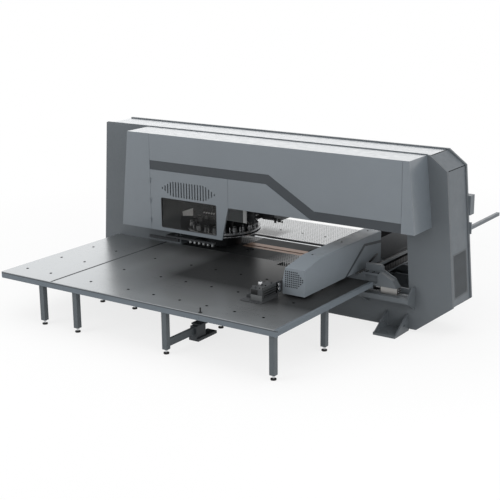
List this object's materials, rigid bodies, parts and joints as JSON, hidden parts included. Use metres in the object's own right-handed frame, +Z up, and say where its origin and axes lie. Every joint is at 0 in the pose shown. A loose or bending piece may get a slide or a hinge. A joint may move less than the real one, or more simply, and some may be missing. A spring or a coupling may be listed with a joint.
{
  "type": "cnc punch and shear machine",
  "caption": "O-frame sheet metal machine with a punching turret and an upright shear in its throat, a table on legs and a sliding beam whose clamps move the sheet.",
  "frame": {"origin": "centre of the four anchor holes at floor level, below the middle of the frame", "axes": "+X along the frame to the right as seen from the table, +Y away from the front table, +Z up"},
  "size_m": [7.274, 5.716, 2.92],
  "materials": {
    "frame_paint": "satin grey paint on thick plate",
    "cover_paint": "satin blue-grey paint on sheet",
    "dark_paint": "satin dark grey paint",
    "pane": "tinted clear pane",
    "table_steel": "dark satin steel sheet",
    "perforated_steel": "light satin steel sheet",
    "machined_steel": "machined steel",
    "bright_steel": "ground bright steel",
    "dark_steel": "dark machined castings",
    "copper": "dull copper-coloured wear strip",
    "black_plastic": "black moulded links"
  },
  "bodies": {
    "frame": {"front_plate": "frame_paint", "rear_plate": "frame_paint", "throat_liner": "frame_paint", "foot_brackets": "frame_paint", "rail_shelves": "frame_paint", "front_legs": "frame_paint", "rear_legs": "frame_paint", "table_bars": "frame_paint", "tie_bar": "frame_paint", "cover_upper": "cover_paint", "cover_left_end": "cover_paint", "cover_right_end": "cover_paint", "cover_lower": "cover_paint", "top_panel": "cover_paint", "right_end_panel": "cover_paint", "left_end_panel": "cover_paint", "rear_box": "cover_paint", "cable_arm": "cover_paint", "front_skirt": "cover_paint", "rear_skirt": "cover_paint", "cover_stripe": "dark_paint", "vent_grille": "dark_paint", "floor_box": "dark_paint", "table_left": "table_steel", "table_main": "table_steel", "table_mid": "table_steel", "table_rear": "perforated_steel", "x_rails": "machined_steel", "levelling_feet": "bright_steel", "upper_bearing": "dark_steel", "lower_bearing": "dark_steel", "ram_housing": "dark_steel", "hold_down_guide": "dark_steel", "wear_strips": "copper"},
    "saddle": {"saddle_front": "frame_paint", "saddle_rear": "frame_paint", "slide_blocks": "machined_steel", "beam_core": "dark_steel", "beam_rails": "machined_steel", "beam_cover": "cover_paint", "beam_band_strip": "dark_paint", "cable_tray": "machined_steel", "cable_chain": "black_plastic"},
    "clamps": {"clamp_carriage": "dark_steel", "front_clamp": "dark_steel", "rear_clamp": "dark_steel"},
    "front_clamp_jaw": {"front_jaw": "bright_steel"},
    "rear_clamp_jaw": {"rear_jaw": "bright_steel"},
    "upper_disc": {"upper_turret": "machined_steel", "punch_holders": "bright_steel"},
    "lower_disc": {"lower_turret": "machined_steel", "die_holders": "bright_steel"},
    "striker": {"ram": "bright_steel"},
    "shear": {"shear_head": "dark_steel", "shear_blade": "bright_steel"},
    "door": {"front_door": "cover_paint", "door_window": "pane"},
    "hold_down": {"hold_down_bar": "dark_steel", "hold_down_feet": "bright_steel"},
    "gauge": {"gauge_pin": "bright_steel"}
  },
  "joints": [
    {"name": "saddle_travel", "type": "slide", "parent": "frame", "child": "saddle", "axis": [-1, 0, 0], "range_m": [0, 1.12]},
    {"name": "clamp_travel", "type": "slide", "parent": "saddle", "child": "clamps", "axis": [0, 1, 0], "range_m": [0, 2.5]},
    {"name": "front_jaw_turn", "type": "hinge", "parent": "clamps", "child": "front_clamp_jaw", "pos_m": [1.323, -2.297, 0.884], "axis": [0, 1, 0], "range_deg": [0, 10]},
    {"name": "rear_jaw_turn", "type": "hinge", "parent": "clamps", "child": "rear_clamp_jaw", "pos_m": [1.323, -1.277, 0.884], "axis": [0, 1, 0], "range_deg": [0, 10]},
    {"name": "upper_turn", "type": "hinge", "parent": "frame", "child": "upper_disc", "pos_m": [-1.048, 0, 1.14], "axis": [0, 0, 1], "continuous": true},
    {"name": "lower_turn", "type": "hinge", "parent": "frame", "child": "lower_disc", "pos_m": [-1.048, 0, 0.65], "axis": [0, 0, 1], "continuous": true},
    {"name": "ram_stroke", "type": "slide", "parent": "frame", "child": "striker", "axis": [0, 0, -1], "range_m": [0, 0.04]},
    {"name": "shear_stroke", "type": "slide", "parent": "frame", "child": "shear", "axis": [0, 0, -1], "range_m": [0, 0.54]},
    {"name": "door_swing", "type": "hinge", "parent": "frame", "child": "door", "pos_m": [-1.927, -1.005, 1.7], "axis": [0, 0, -1], "range_deg": [0, 100]},
    {"name": "hold_down_stroke", "type": "slide", "parent": "frame", "child": "hold_down", "axis": [0, 0, -1], "range_m": [0, 0.13]},
    {"name": "gauge_drop", "type": "slide", "parent": "frame", "child": "gauge", "axis": [0, 0, -1], "range_m": [0, 0.072]}
  ],
  "couplings": [
    {"joint": "lower_turn", "follows": "upper_turn", "ratio": 1}
  ]
}
